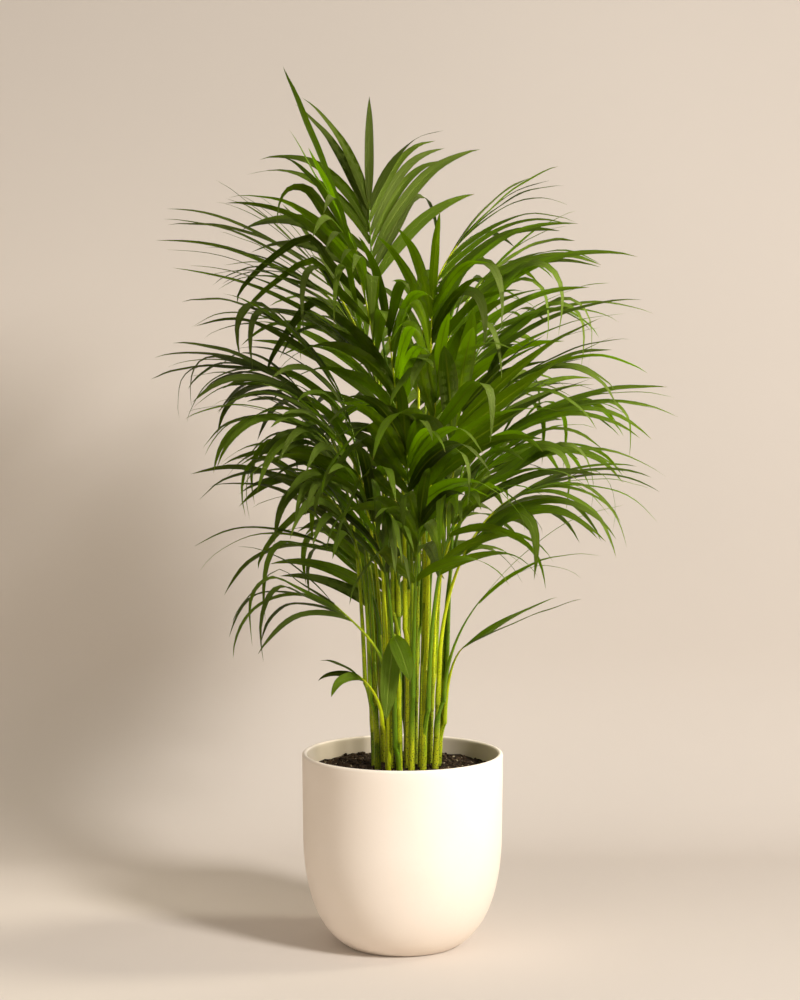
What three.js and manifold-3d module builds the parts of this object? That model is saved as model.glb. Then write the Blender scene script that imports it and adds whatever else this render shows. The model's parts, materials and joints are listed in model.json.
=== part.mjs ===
// A potted areca palm: a U-shaped planter, its potting soil, the palm's canes and its pinnate fronds.
// Millimetres, +Z up. The origin is the centre of the planter's foot, and the plant's front faces -Y.
import * as THREE from "three";
import { mergeVertices } from "three/addons/utils/BufferGeometryUtils.js";
import Module from "manifold-3d";

const wasm = await Module();
wasm.setup();

// ---------------------------------------------------------------- driving dimensions
const GAP = 0.3; // clearance between touching pieces

const POT_HEIGHT = 270;
const POT_RIM_RADIUS = 140;
const POT_FOOT_RADIUS = 78;
const POT_WALL = 7;
const POT_FLOOR = 9;
const POT_SHOULDER = 160; // height at which the rounded lower part becomes the upright wall
const POT_TAPER = 1; // how much wider the rim is than the shoulder, in radius
const POT_CURVE_STEPS = 9;
const FOOT_FLARE = 0.55; // the foot's curve heads for this share of the way from foot to rim radius,
const FOOT_LIFT = 0.112; // at this share of the shoulder's height,
const WALL_DROP = 0.406; // and leaves the wall's line at this one
const POT_SIDES = 48;
const LIP_STEPS = 3;

const SOIL_BELOW_RIM = 24;
const SOIL_MOUND = 5; // how much higher the soil stands at the canes than at the wall
const SOIL_MOUND_RADIUS = 70;

const CLUMP_CENTRE = [4, 0];
const CANE_SIDES = 8;
const CANE_RADIUS = 5.2;
const CANE_TOP_RADIUS = 4.2;
const CANE_DEPTH = 30; // how deep a cane stands in the soil
const SOCKET_ABOVE = 10; // how far over the soil its sockets are cut
const CANE_LEAN = 0.001; // outward lean for each millimetre from the middle of the clump

const PETIOLE_HALF_WIDTH = 3.2;
const RACHIS_TIP_HALF_WIDTH = 0.9;
const RACHIS_CREST = 0.3; // how high the upper side stands over the middle, as a share of the half width
const FIRST_STAND_OFF = 2; // how far off its cane a petiole is first tried
const GAP_SEARCH = 10; // how far round a petiole its cane is looked for
const PETIOLE_BANDS = 6;
const NODE_SPACING = 55; // how far below its neighbour each further frond leaves its cane

const LEAFLET_LENGTH = 1.22; // the scale of every frond's leaflet length
const LEAFLET_WIDTH = 16;
const LEAFLET_THICKNESS = 1.4;
const LEAFLET_END_THICKNESS = 0.5; // at the tip, as a share of that at the base
const LEAFLET_WIDEST = 0.35; // where a leaflet is widest, as a share of its length
const LEAFLET_NECK = 0.35; // its width at the base, as a share of its greatest
const LEAFLET_TAPER = 2.2; // how late it narrows towards its tip
const LEAFLET_BASE = 8; // how much of the rachis one leaflet is attached along
const LEAFLET_STEPS = 24; // steps along a leaflet's spine
const LEAFLET_STATIONS = [7, 16]; // the steps at which a leaflet has a cross-section
const END_LEAFLET = 0.62; // the end leaflet's length, as a share of the frond's longest,
const END_LEAFLET_WIDTH = 0.8; // its width, as a share of the others',
const END_DROOP = 0.5; // its droop, as a share of theirs,
const END_POWER = 1.6; // and how late it bends
const FIRST_PAIR = 0.6; // the first pair stands this many spacings along the leafy part,
const PAIR_ROOM = 0.2; // which is this many spacings longer than its pairs
const FIRST_SPREAD = 43; // degrees from the rachis, at the first leaflets
const LAST_SPREAD = 18; // and at the last
const FOLD = 125; // degrees through which a creased leaflet bends
const CREASE_START = 0.5; // where a creased leaflet starts to bend, as a share of its length,
const CREASE_LENGTH = 0.16; // and over how much of it
const CREASED = 0.12; // the share of the leaflets of a drooping frond that are creased,
const CREASES_OVER = 50; // where its droop is more than this many degrees
const STEEPEST = -84; // degrees; a drooping leaflet never hangs steeper
const LEVELLING = 0.85; // how far a blade has turned its flat side up by its tip
const LIFT = 24; // degrees by which leaflets rise above the plane of the frond

// How leaflets vary along a frond and from one to the next.
const SPREAD_VARIES = 15; // degrees
const LIFT_VARIES = 26; // degrees
const TWIST_VARIES = 60; // degrees
const LENGTH_VARIES = [0.86, 1.1];
const WIDTH_VARIES = [0.82, 1.12];
const DROOP_VARIES = [0.6, 1.45];
const POWER_VARIES = [1.2, 2.0]; // how late a leaflet bends
const LONGEST_AT = 0.4; // where on the leafy part the longest leaflets are,
const SHORTENING = 0.55; // how much shorter they get away from it,
const SHORTENING_POWER = 1.4; // and how suddenly
const END_WIDTH = 0.85; // the last pair's width, as a share of the first's

const CLEAR = 0.4; // the least gap between a frond and any other piece
const RACHIS_BANDS = 14;
const RISE = 0.42; // how far the petiole keeps the cane's direction, as a share of its reach
const ARCH = 0.3; // how far back from its tip the rachis settles into its final slope

// ---------------------------------------------------------------- the plant's habit
// Each cane: where it stands, from the middle of the clump, and the height of its top above the rim.
const CANES = [
  { at: [-37, -19], top: 130 },
  { at: [-23, -33], top: 100 },
  { at: [-8, -41], top: 70 },
  { at: [8, -35], top: 140 },
  { at: [24, -32], top: 120 },
  { at: [40, -20], top: 130 },
  { at: [-42, 6], top: 150 },
  { at: [-19, -11], top: 200 },
  { at: [3, -14], top: 230 },
  { at: [21, -8], top: 210 },
  { at: [45, 6], top: 150 },
  { at: [-30, 26], top: 160 },
  { at: [-8, 13], top: 250 },
  { at: [13, 18], top: 230 },
  { at: [33, 27], top: 160 },
  { at: [2, 40], top: 150 },
];

// Each frond: its cane, the end of its rachis, measured up from the planter's rim, the slope of that end in
// degrees above level, the leaflet pairs, the longest leaflet, its droop in degrees, and the share of the
// rachis where the leaflets begin. Some have the compass direction the blade faces, narrower or wider
// leaflets, a closer spread, a lift of their own or a longer end leaflet.
const FRONDS = [
  { cane: 8, tip: [-46, 20, 762], nod: 86, face: 90, pairs: 7, leaf: 205, droop: 58, from: 0.78 },
  {
    cane: 7, tip: [-76, -34, 733], nod: 68, face: 200,
    pairs: 2, leaf: 180, droop: 8, from: 0.9, wide: 1.3, spread: 0.4, end: 1.02,
  },
  { cane: 12, tip: [-129, 83, 685], nod: 42, pairs: 7, leaf: 260, droop: 32, from: 0.66, wide: 0.6 },
  { cane: 7, tip: [-78, -60, 715], nod: 62, pairs: 7, leaf: 200, droop: 100, from: 0.66, wide: 1.1 },
  { cane: 12, tip: [-115, 9, 645], nod: 40, pairs: 7, leaf: 210, droop: 60, from: 0.64, wide: 0.8 },
  { cane: 6, tip: [-147, -9, 585], nod: 40, pairs: 7, leaf: 200, droop: 55, from: 0.6 },
  { cane: 6, tip: [-210, 18, 535], nod: 5, pairs: 8, leaf: 190, droop: 65, from: 0.55 },
  { cane: 0, tip: [-147, -46, 465], nod: 20, pairs: 7, leaf: 200, droop: 85, from: 0.58 },
  { cane: 0, tip: [-110, -64, 370], nod: 35, pairs: 6, leaf: 200, droop: 95, from: 0.6 },
  { cane: 11, tip: [-105, 10, 290], nod: 30, pairs: 2, leaf: 235, droop: 60, from: 0.8, wide: 0.7 },
  { cane: 1, tip: [-98, -60, 220], nod: 48, pairs: 4, leaf: 205, droop: 95, from: 0.66 },
  { cane: 1, tip: [-62, -62, 118], nod: 35, pairs: 1, leaf: 85, droop: 70, from: 0.7 },
  {
    cane: 2, tip: [-12, -98, 172], nod: -50,
    pairs: 1, leaf: 112, droop: 20, from: 0.9, wide: 2, lift: 0, spread: 0.6, end: 0.9,
  },
  { cane: 9, tip: [85, 0, 715], nod: 48, pairs: 7, leaf: 220, droop: 65, from: 0.62 },
  { cane: 13, tip: [120, 64, 665], nod: 45, pairs: 8, leaf: 220, droop: 65, from: 0.6 },
  { cane: 13, tip: [156, 83, 600], nod: 30, pairs: 8, leaf: 220, droop: 60, from: 0.58, wide: 0.8 },
  { cane: 9, tip: [83, -74, 490], nod: 62, pairs: 4, leaf: 205, droop: 28, from: 0.72, wide: 1.8 },
  { cane: 10, tip: [198, 37, 475], nod: 12, pairs: 9, leaf: 215, droop: 65, from: 0.52 },
  { cane: 10, tip: [170, -18, 530], nod: 30, pairs: 7, leaf: 200, droop: 70, from: 0.56 },
  { cane: 5, tip: [179, -37, 370], nod: 15, pairs: 8, leaf: 215, droop: 80, from: 0.5 },
  { cane: 14, tip: [175, 101, 420], nod: 10, pairs: 7, leaf: 210, droop: 70, from: 0.5 },
  {
    cane: 5, tip: [112, -30, 222], nod: 50,
    pairs: 1, leaf: 215, droop: 90, from: 0.85, wide: 0.7, spread: 0.6, end: 0.9,
  },
  {
    cane: 10, tip: [90, -35, 156], nod: 24,
    pairs: 1, leaf: 190, droop: 18, from: 0.8, spread: 0.4, end: 1,
  },
  { cane: 3, tip: [5, -100, 430], nod: 66, pairs: 6, leaf: 185, droop: 110, from: 0.62, wide: 1.2 },
  { cane: 4, tip: [45, -105, 505], nod: 68, pairs: 6, leaf: 185, droop: 95, from: 0.62, wide: 1.2 },
  { cane: 2, tip: [-64, -106, 380], nod: 48, pairs: 6, leaf: 170, droop: 95, from: 0.6, wide: 1.1 },
  { cane: 1, tip: [-92, -101, 450], nod: 45, pairs: 7, leaf: 190, droop: 90, from: 0.58 },
  { cane: 4, tip: [78, -101, 350], nod: 50, pairs: 6, leaf: 170, droop: 95, from: 0.6 },
  { cane: 3, tip: [23, -110, 330], nod: 60, pairs: 5, leaf: 160, droop: 95, from: 0.6, wide: 1.1 },
  { cane: 8, tip: [-20, -60, 590], nod: 75, pairs: 7, leaf: 190, droop: 85, from: 0.62, wide: 1.2 },
  { cane: 9, tip: [40, -50, 620], nod: 72, pairs: 7, leaf: 195, droop: 75, from: 0.6 },
  { cane: 12, tip: [-64, 175, 610], nod: 40, pairs: 7, leaf: 210, droop: 70, from: 0.58 },
  { cane: 13, tip: [55, 175, 630], nod: 40, pairs: 7, leaf: 210, droop: 70, from: 0.58 },
  { cane: 15, tip: [0, 212, 500], nod: 30, pairs: 7, leaf: 210, droop: 70, from: 0.52 },
  { cane: 11, tip: [-110, 138, 430], nod: 30, pairs: 7, leaf: 190, droop: 70, from: 0.55 },
  { cane: 14, tip: [120, 166, 500], nod: 30, pairs: 7, leaf: 200, droop: 70, from: 0.55 },
  { cane: 15, tip: [46, 192, 360], nod: 25, pairs: 8, leaf: 190, droop: 75, from: 0.42, wide: 1.2 },
  { cane: 15, tip: [-55, 156, 290], nod: 35, pairs: 7, leaf: 180, droop: 75, from: 0.42, wide: 1.2 },
  { cane: 11, tip: [-170, 92, 510], nod: 15, pairs: 8, leaf: 200, droop: 65, from: 0.55 },
];

// The start turns and sideways sways that a rachis may take to keep clear of its neighbours.
const TURNS = [0, 30, -30, 60, -60, 90, -90, 120, -120];
const SWAYS = [0, 10, -10, 20, -20, 32, -32, 46, -46, 62, -62];

// The ways in which a leaflet may be moved to keep clear: its swing about the rachis, and its spread.
const ROOM = [
  [0, 0], [7, 0], [-7, 0], [0, 6], [0, -6], [13, 5], [-13, 5], [13, -5], [-13, -5],
  [20, 0], [-20, 0], [26, 8], [-26, 8], [32, -8], [-32, -8], [42, 0], [-42, 0],
];

// ---------------------------------------------------------------- vectors and small helpers
const UP = new THREE.Vector3(0, 0, 1);
const vector = (x, y, z) => new THREE.Vector3(x, y, z);
const radians = (degrees) => (degrees * Math.PI) / 180;
const mix = (a, b, share) => a + (b - a) * share;
const clamp = (x) => Math.min(1, Math.max(0, x));
const ease = (x) => clamp(x) ** 2 * (3 - 2 * clamp(x));
const at = (point, direction, distance) => point.clone().addScaledVector(direction, distance);

/** A repeatable number from 0 to 1 for one leaflet and one purpose. */
function chance(frond, leaflet, purpose) {
  return ((frond * 7919 + leaflet * 3571 + purpose * 1223 + 611) % 1009) / 1009;
}

/** A THREE.BufferGeometry from a list of points and a list of triangles. */
function geometryOf(points, triangles) {
  const geometry = new THREE.BufferGeometry();
  const positions = new Float32Array(points.flatMap((p) => [p.x, p.y, p.z]));
  geometry.setAttribute("position", new THREE.BufferAttribute(positions, 3));
  geometry.setIndex(triangles.flat());
  geometry.computeVertexNormals();
  return geometry;
}

/** A manifold-3d solid from a closed geometry. */
function solidOf(geometry) {
  const bare = new THREE.BufferGeometry();
  bare.setAttribute("position", geometry.getAttribute("position"));
  if (geometry.index) bare.setIndex(geometry.index);
  const merged = mergeVertices(bare, 1e-4);
  const vertProperties = new Float32Array(merged.getAttribute("position").array);
  const triVerts = new Uint32Array(merged.index.array);
  return new wasm.Manifold(new wasm.Mesh({ numProp: 3, vertProperties, triVerts }));
}

/** A THREE.BufferGeometry from a manifold-3d solid. */
function geometryFrom(solid) {
  const mesh = solid.getMesh();
  const geometry = new THREE.BufferGeometry();
  geometry.setAttribute("position", new THREE.BufferAttribute(mesh.vertProperties, 3));
  geometry.setIndex(new THREE.BufferAttribute(mesh.triVerts, 1));
  geometry.computeVertexNormals();
  return geometry;
}

// ---------------------------------------------------------------- planter and soil
/** Points [radius, height] of the planter's outer surface, moved inwards by an inset, from foot to rim. */
function potProfile(inset, top) {
  const foot = new THREE.Vector2(POT_FOOT_RADIUS - inset, 0);
  const wall = POT_RIM_RADIUS - POT_TAPER - inset;
  const curve = new THREE.CubicBezierCurve(
    foot,
    new THREE.Vector2(mix(POT_FOOT_RADIUS, POT_RIM_RADIUS, FOOT_FLARE) - inset, FOOT_LIFT * POT_SHOULDER),
    new THREE.Vector2(wall, WALL_DROP * POT_SHOULDER),
    new THREE.Vector2(wall, POT_SHOULDER),
  );
  return [...curve.getPoints(POT_CURVE_STEPS), new THREE.Vector2(POT_RIM_RADIUS - inset, top)];
}

/** The radius of the planter's inner wall at a height. */
function innerRadius(height, inset) {
  const points = potProfile(inset, POT_HEIGHT);
  const k = Math.max(1, points.findIndex((p) => p.y >= height));
  const [a, b] = [points[k - 1], points[k]];
  return mix(a.x, b.x, (height - a.y) / (b.y - a.y));
}

/** A solid of revolution about the upright axis. */
const turned = (profile) => new THREE.LatheGeometry(profile, POT_SIDES).rotateX(Math.PI / 2);

/** Inner profile points above a floor height, starting on that floor. */
function innerProfile(inset, floor, top) {
  const rest = potProfile(inset, POT_HEIGHT).filter((p) => p.y > floor + 1 && p.y < top - 1);
  return [new THREE.Vector2(innerRadius(floor, inset), floor), ...rest];
}

function makePot() {
  const lipRadius = POT_WALL / 2;
  const outer = potProfile(0, POT_HEIGHT - lipRadius);
  const lip = [];
  for (let i = 1; i < LIP_STEPS; i++) {
    const turn = (Math.PI * i) / LIP_STEPS;
    const radius = POT_RIM_RADIUS - lipRadius + lipRadius * Math.cos(turn);
    lip.push(new THREE.Vector2(radius, POT_HEIGHT - lipRadius + lipRadius * Math.sin(turn)));
  }
  const lipEnd = new THREE.Vector2(POT_RIM_RADIUS - POT_WALL, POT_HEIGHT - lipRadius);
  const inner = innerProfile(POT_WALL, POT_FLOOR, POT_HEIGHT - lipRadius).reverse();
  const axisBottom = new THREE.Vector2(0, 0);
  const axisTop = new THREE.Vector2(0, POT_FLOOR);
  return turned([axisBottom, ...outer, ...lip, lipEnd, ...inner, axisTop]);
}

const SOIL_EDGE = POT_HEIGHT - SOIL_BELOW_RIM;
const SOIL_TOP = SOIL_EDGE + SOIL_MOUND;

/** The soil: it fills the planter to just under the rim, with a socket for each cane. */
function makeSoil(canes) {
  const inset = POT_WALL + GAP;
  const side = innerProfile(inset, POT_FLOOR + GAP, SOIL_EDGE);
  const profile = [
    new THREE.Vector2(0, POT_FLOOR + GAP),
    ...side,
    new THREE.Vector2(innerRadius(SOIL_EDGE, inset), SOIL_EDGE),
    new THREE.Vector2(SOIL_MOUND_RADIUS, SOIL_TOP),
    new THREE.Vector2(0, SOIL_TOP),
  ];
  let soil = solidOf(turned(profile));
  for (const cane of canes) soil = soil.subtract(solidOf(caneGeometry(cane, GAP, SOIL_TOP + SOCKET_ABOVE)));
  return geometryFrom(soil);
}

// ---------------------------------------------------------------- canes
/** Works out each cane's axis: it leans outward from the middle of the clump. */
function layCane({ at: [x, y], top }) {
  const foot = vector(CLUMP_CENTRE[0] + x, CLUMP_CENTRE[1] + y, SOIL_TOP - CANE_DEPTH);
  const axis = vector(x * CANE_LEAN, y * CANE_LEAN, 1).normalize();
  return { foot, axis, length: (POT_HEIGHT + top - foot.z) / axis.z };
}

/** A tapered cane along its axis, swollen by a margin, as far up as a height. */
function caneGeometry(cane, margin, upTo = Infinity) {
  const length = Math.min(cane.length, (upTo - cane.foot.z) / cane.axis.z) + margin;
  const topRadius = mix(CANE_RADIUS, CANE_TOP_RADIUS, (length - margin) / cane.length) + margin;
  const geometry = new THREE.CylinderGeometry(topRadius, CANE_RADIUS + margin, length, CANE_SIDES);
  geometry.translate(0, length / 2 - margin, 0);
  geometry.applyQuaternion(new THREE.Quaternion().setFromUnitVectors(vector(0, 1, 0), cane.axis));
  geometry.translate(cane.foot.x, cane.foot.y, cane.foot.z);
  return geometry;
}

// ---------------------------------------------------------------- leaflets
/** The width of a leaflet at a share of its length, as a share of its greatest width. */
function leafletOutline(share) {
  if (share < LEAFLET_WIDEST) return 1 - (1 - LEAFLET_NECK) * (1 - share / LEAFLET_WIDEST) ** 2;
  return 1 - ((share - LEAFLET_WIDEST) / (1 - LEAFLET_WIDEST)) ** LEAFLET_TAPER;
}

/** How far a leaflet has bent at a share of its length: evenly, or at a crease halfway along. */
function bendShare(share, form) {
  if (!form.folds) return share ** form.power;
  return ease((share - CREASE_START) / CREASE_LENGTH);
}

/**
 * Bends a spine downwards from its first direction. The blade starts along the rachis, and turns its flat
 * side upwards on its way to the tip.
 */
function bendSpine(frame, direction, attached, form) {
  const level = Math.hypot(direction.x, direction.y);
  const heading = vector(direction.x / level, direction.y / level, 0);
  const slope = Math.atan2(direction.z, level);
  const sideways = UP.clone().cross(heading);
  if (sideways.dot(attached) < 0) sideways.negate();
  const roll = Math.atan2(attached.dot(direction.clone().cross(sideways)), attached.dot(sideways));
  const spine = [frame.point.clone()];
  const blades = [];
  for (let step = 0; step <= LEAFLET_STEPS; step++) {
    const share = step / LEAFLET_STEPS;
    const angle = Math.max(slope - radians(form.droop) * bendShare(share, form), radians(STEEPEST));
    const tangent = at(heading.clone().multiplyScalar(Math.cos(angle)), UP, Math.sin(angle));
    const turn = roll * (1 - LEVELLING * ease(share)) + form.twist * share;
    const level = sideways.clone().multiplyScalar(Math.cos(turn));
    blades.push(at(level, tangent.clone().cross(sideways), Math.sin(turn)));
    if (step < LEAFLET_STEPS) spine.push(at(spine[step], tangent, form.length / LEAFLET_STEPS));
  }
  return { spine, blades };
}

/** Lays one leaflet of a pair, with the swing and spread of one entry of ROOM. */
function layLeaflet(frond, number, laid, index, side, [swing, open]) {
  const place = frond.pairs > 1 ? index / (frond.pairs - 1) : 1;
  const share = mix(frond.from, 1, (index + FIRST_PAIR) / (frond.pairs + PAIR_ROOM));
  const frame = rachisFrame(frond, laid, share);
  const dice = (purpose) => chance(number, index * 2 + (side > 0 ? 1 : 0), purpose);
  const varied = ([low, high], purpose) => mix(low, high, dice(purpose));
  const jitter = (range, purpose) => range * (dice(purpose) - 0.5);
  const widest = mix(FIRST_SPREAD, LAST_SPREAD, place) + open;
  const spread = radians(widest * (frond.spread ?? 1) + jitter(SPREAD_VARIES, 1));
  const lift = radians((frond.lift ?? LIFT) + swing + jitter(LIFT_VARIES, 2));
  const across = at(frame.left.clone().multiplyScalar(side * Math.cos(lift)), frame.up, Math.sin(lift));
  const direction = at(frame.along.clone().multiplyScalar(Math.cos(spread)), across, Math.sin(spread));
  const folds = dice(4) < CREASED && frond.droop > CREASES_OVER;
  const shortened = 1 - SHORTENING * Math.abs(place - LONGEST_AT) ** SHORTENING_POWER;
  const form = {
    length: LEAFLET_LENGTH * frond.leaf * shortened * varied(LENGTH_VARIES, 3),
    folds,
    droop: folds ? FOLD : frond.droop * varied(DROOP_VARIES, 5),
    power: varied(POWER_VARIES, 6),
    twist: radians(jitter(TWIST_VARIES, 7)),
  };
  const width = LEAFLET_WIDTH * (frond.wide ?? 1) * varied(WIDTH_VARIES, 8) * mix(1, END_WIDTH, place);
  return { frame, share, side, width, ...bendSpine(frame, direction, frame.along, form) };
}

/** Lays the leaflet that carries on from the rachis's end. */
function layTerminal(frond, laid) {
  const frame = rachisFrame(frond, laid, 1);
  const length = LEAFLET_LENGTH * frond.leaf * (frond.end ?? END_LEAFLET);
  const width = LEAFLET_WIDTH * (frond.wide ?? 1) * END_LEAFLET_WIDTH;
  const form = { length, folds: false, droop: frond.droop * END_DROOP, power: END_POWER, twist: 0 };
  return { frame, share: 1, side: 0, width, ...bendSpine(frame, frame.along, frame.left, form) };
}

/** The direction of a leaflet at one of its sections, halfway between its straight runs on either side. */
function directionAt(leaflet, section) {
  const steps = [0, ...LEAFLET_STATIONS, LEAFLET_STEPS];
  const [before, here, after] = steps.slice(section, section + 3).map((step) => leaflet.spine[step]);
  const arriving = here.clone().sub(before).normalize();
  return after.clone().sub(here).normalize().add(arriving).normalize();
}

/** The corners of one of a leaflet's sections, anticlockwise seen from its tip. */
function leafletSection(leaflet, section) {
  const step = LEAFLET_STATIONS[section];
  const share = step / LEAFLET_STEPS;
  const tangent = directionAt(leaflet, section);
  const blade = leaflet.blades[step];
  const across = at(blade, tangent, -blade.dot(tangent)).normalize();
  const half = (leaflet.width * leafletOutline(share)) / 2;
  const below = tangent.clone().cross(across).multiplyScalar(leaflet.side > 0 ? 1 : -1);
  const middle = leaflet.spine[step];
  const near = at(middle, across, -half);
  const far = at(middle, across, half);
  const keel = at(middle, below, LEAFLET_THICKNESS * mix(1, LEAFLET_END_THICKNESS, share));
  if (leaflet.side < 0) return [near, keel, far];
  return leaflet.side > 0 ? [keel, near, far] : [far, near, keel];
}

/** A leaflet's rings of corners: its attachment, where that is given, and its sections. */
function leafletRings(leaflet, attachment) {
  const sections = LEAFLET_STATIONS.map((_, section) => leafletSection(leaflet, section));
  return attachment ? [attachment, ...sections] : sections;
}

/** The triangles between two rings of a blade. Each four-cornered face is split to bulge outwards. */
function skinBlade(points, ringA, ringB) {
  return ringA.flatMap((a, i) => {
    const j = (i + 1) % ringA.length;
    const [b, c, d] = [ringA[j], ringB[j], ringB[i]];
    const outward = points[c].clone().sub(points[a]).cross(points[d].clone().sub(points[b]));
    const lead = points[a].clone().add(points[c]).sub(points[b]).sub(points[d]);
    return lead.dot(outward) > 0 ? [[a, b, c], [a, c, d]] : [[a, b, d], [b, c, d]];
  });
}

/** A blade as points and triangles, from three-cornered rings and a pointed end; its first ring is open. */
function bladeSkin(rings, tip) {
  const points = [...rings.flat(), tip];
  const numbers = rings.map((_, k) => [3 * k, 3 * k + 1, 3 * k + 2]);
  const runs = numbers.slice(1).map((ring, i) => skinBlade(points, numbers[i], ring));
  const [a, b, c] = numbers[rings.length - 1];
  const end = points.length - 1;
  return { points, runs: [...runs, [[a, b, end], [b, c, end], [c, a, end]]] };
}

/** A closed solid from three-cornered rings and a pointed end. */
function spikeSolid(rings, tip) {
  const { points, runs } = bladeSkin(rings, tip);
  return solidOf(geometryOf(points, [[0, 2, 1], ...runs.flat()]));
}

/** A leaflet's solid from its sections, and from its attachment where that is given. */
function leafletSolid(leaflet, attachment) {
  return spikeSolid(leafletRings(leaflet, attachment), leaflet.spine[LEAFLET_STEPS]);
}

/** True where a run of a leaflet is so twisted or bent that one of its faces looks inwards. */
function isCrossed(leaflet, attachment) {
  const { points, runs } = bladeSkin(leafletRings(leaflet, attachment), leaflet.spine[LEAFLET_STEPS]);
  return runs.some((run) => {
    const corners = [...new Set(run.flat())].map((k) => points[k]);
    const middle = corners.reduce((sum, point) => sum.add(point), vector(0, 0, 0));
    middle.divideScalar(corners.length);
    return run.some(([a, b, c]) => {
      const outward = points[b].clone().sub(points[a]).cross(points[c].clone().sub(points[a]));
      return middle.clone().sub(points[a]).dot(outward) > 0;
    });
  });
}

// ---------------------------------------------------------------- petiole and rachis
/** Half the rachis's width at a share of its length. */
const rachisHalfWidth = (share) => mix(PETIOLE_HALF_WIDTH, RACHIS_TIP_HALF_WIDTH, share);

/** Lays a frond's rachis from its cane to its tip, for one start turn and one sideways sway. */
function layRachis(frond, cane, rank, [turn, sway], stand) {
  const distance = rank === 0 ? cane.length + GAP : cane.length - rank * NODE_SPACING;
  const middle = at(cane.foot, cane.axis, distance);
  const tip = at(vector(...frond.tip), UP, POT_HEIGHT);
  const outward = tip.clone().sub(middle).setZ(0).normalize().applyAxisAngle(UP, radians(turn));
  const start = at(middle, outward, rank === 0 ? 0 : stand);
  const faced = vector(Math.cos(radians(frond.face)), Math.sin(radians(frond.face)), 0);
  const heading = frond.face === undefined ? tip.clone().sub(start).setZ(0).normalize() : faced;
  const side = UP.clone().cross(heading);
  const reach = tip.distanceTo(start);
  const slope = radians(frond.nod);
  const end = at(UP.clone().multiplyScalar(Math.sin(slope)), heading, Math.cos(slope));
  const curve = new THREE.CubicBezierCurve3(
    start,
    at(at(start, cane.axis, reach * RISE), side, sway),
    at(at(tip, end, -reach * ARCH), side, sway),
    tip,
  );
  return { curve, side, length: curve.getLength() };
}

/** A point on the rachis with its frame: along, left and up. */
function rachisFrame(frond, laid, share) {
  const point = laid.curve.getPointAt(share);
  const along = laid.curve.getTangentAt(share);
  const up = along.clone().cross(laid.side).negate().normalize();
  return { point, along, up, left: up.clone().cross(along) };
}

/** The corners of the rachis's section: left, right and keel. */
function rachisSection(frond, laid, share) {
  const { point, left, up } = rachisFrame(frond, laid, share);
  const half = rachisHalfWidth(share);
  const crest = at(point, up, half * RACHIS_CREST);
  return [at(crest, left, half), at(crest, left, -half), at(point, up, -half)];
}

/** A rachis alone as a closed solid, for finding its gaps to other pieces. */
function rachisSolid(frond, laid) {
  const rings = [];
  for (let band = 0; band < RACHIS_BANDS; band++) rings.push(rachisSection(frond, laid, band / RACHIS_BANDS));
  return spikeSolid(rings, laid.curve.getPointAt(1));
}

/** The three-cornered patch of the rachis that a leaflet grows from. */
function attachmentOf(frond, laid, leaflet) {
  if (leaflet.side === 0) return rachisSection(frond, laid, 1);
  const half = LEAFLET_BASE / 2 / laid.length;
  const [l0, r0, k0] = rachisSection(frond, laid, leaflet.share - half);
  const [l1, r1, k1] = rachisSection(frond, laid, leaflet.share + half);
  return leaflet.side < 0 ? [r0, k1, r1] : [k0, l0, l1];
}

// ---------------------------------------------------------------- keeping pieces clear of each other
const boxesMeet = (a, b, margin) =>
  [0, 1, 2].every((k) => a.min[k] - margin < b.max[k] && b.min[k] - margin < a.max[k]);

/** The solids that are already placed, each with the piece it belongs to. */
class Crowd {
  placed = [];

  add(solid, owner) {
    this.placed.push({ solid, owner, box: solid.boundingBox() });
  }

  /** True where a new solid stays clear of everything placed, apart from one owner's pieces. */
  hasRoom(solid, spared) {
    const box = solid.boundingBox();
    const near = this.placed.filter((other) => other.owner !== spared && boxesMeet(box, other.box, CLEAR));
    return near.every((other) => solid.minGap(other.solid, CLEAR) >= CLEAR);
  }
}

/** Lays the rachis with the first turn and sway that keep it clear of everything placed before it. */
function settleRachis(frond, number, canes, ranks, crowd) {
  const cane = canes[frond.cane];
  const rank = ranks[frond.cane]++;
  const name = "cane" + frond.cane;
  for (const choice of SWAYS.flatMap((sway) => (rank ? TURNS : [0]).map((turn) => [turn, sway]))) {
    let stand = CANE_RADIUS + PETIOLE_HALF_WIDTH + FIRST_STAND_OFF;
    let laid = layRachis(frond, cane, rank, choice, stand);
    if (rank) {
      stand -= rachisSolid(frond, laid).minGap(cane.solid, GAP_SEARCH) - GAP;
      laid = layRachis(frond, cane, rank, choice, stand);
    }
    const solid = rachisSolid(frond, laid);
    if (!crowd.hasRoom(solid, name) || solid.intersect(cane.solid).volume() > 0) continue;
    crowd.add(solid, "rachis" + number);
    return { ...laid, solid };
  }
  console.error("no room for rachis", number, frond.tip);
  return null;
}

/** Lays a leaflet with the first swing and spread that keep it clear, or null where there is no room. */
function settleLeaflet(frond, number, laid, index, side, crowd) {
  for (const room of ROOM) {
    const paired = side !== 0;
    const leaflet = paired ? layLeaflet(frond, number, laid, index, side, room) : layTerminal(frond, laid);
    const attachment = attachmentOf(frond, laid, leaflet);
    if (isCrossed(leaflet, attachment)) continue;
    const solid = leafletSolid(leaflet, attachment);
    if (crowd.hasRoom(solid, "rachis" + number) && leafletSolid(leaflet).minGap(laid.solid, CLEAR) >= CLEAR) {
      crowd.add(solid, "leaflet");
      return leaflet;
    }
    if (!paired) return null;
  }
  return null;
}

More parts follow.
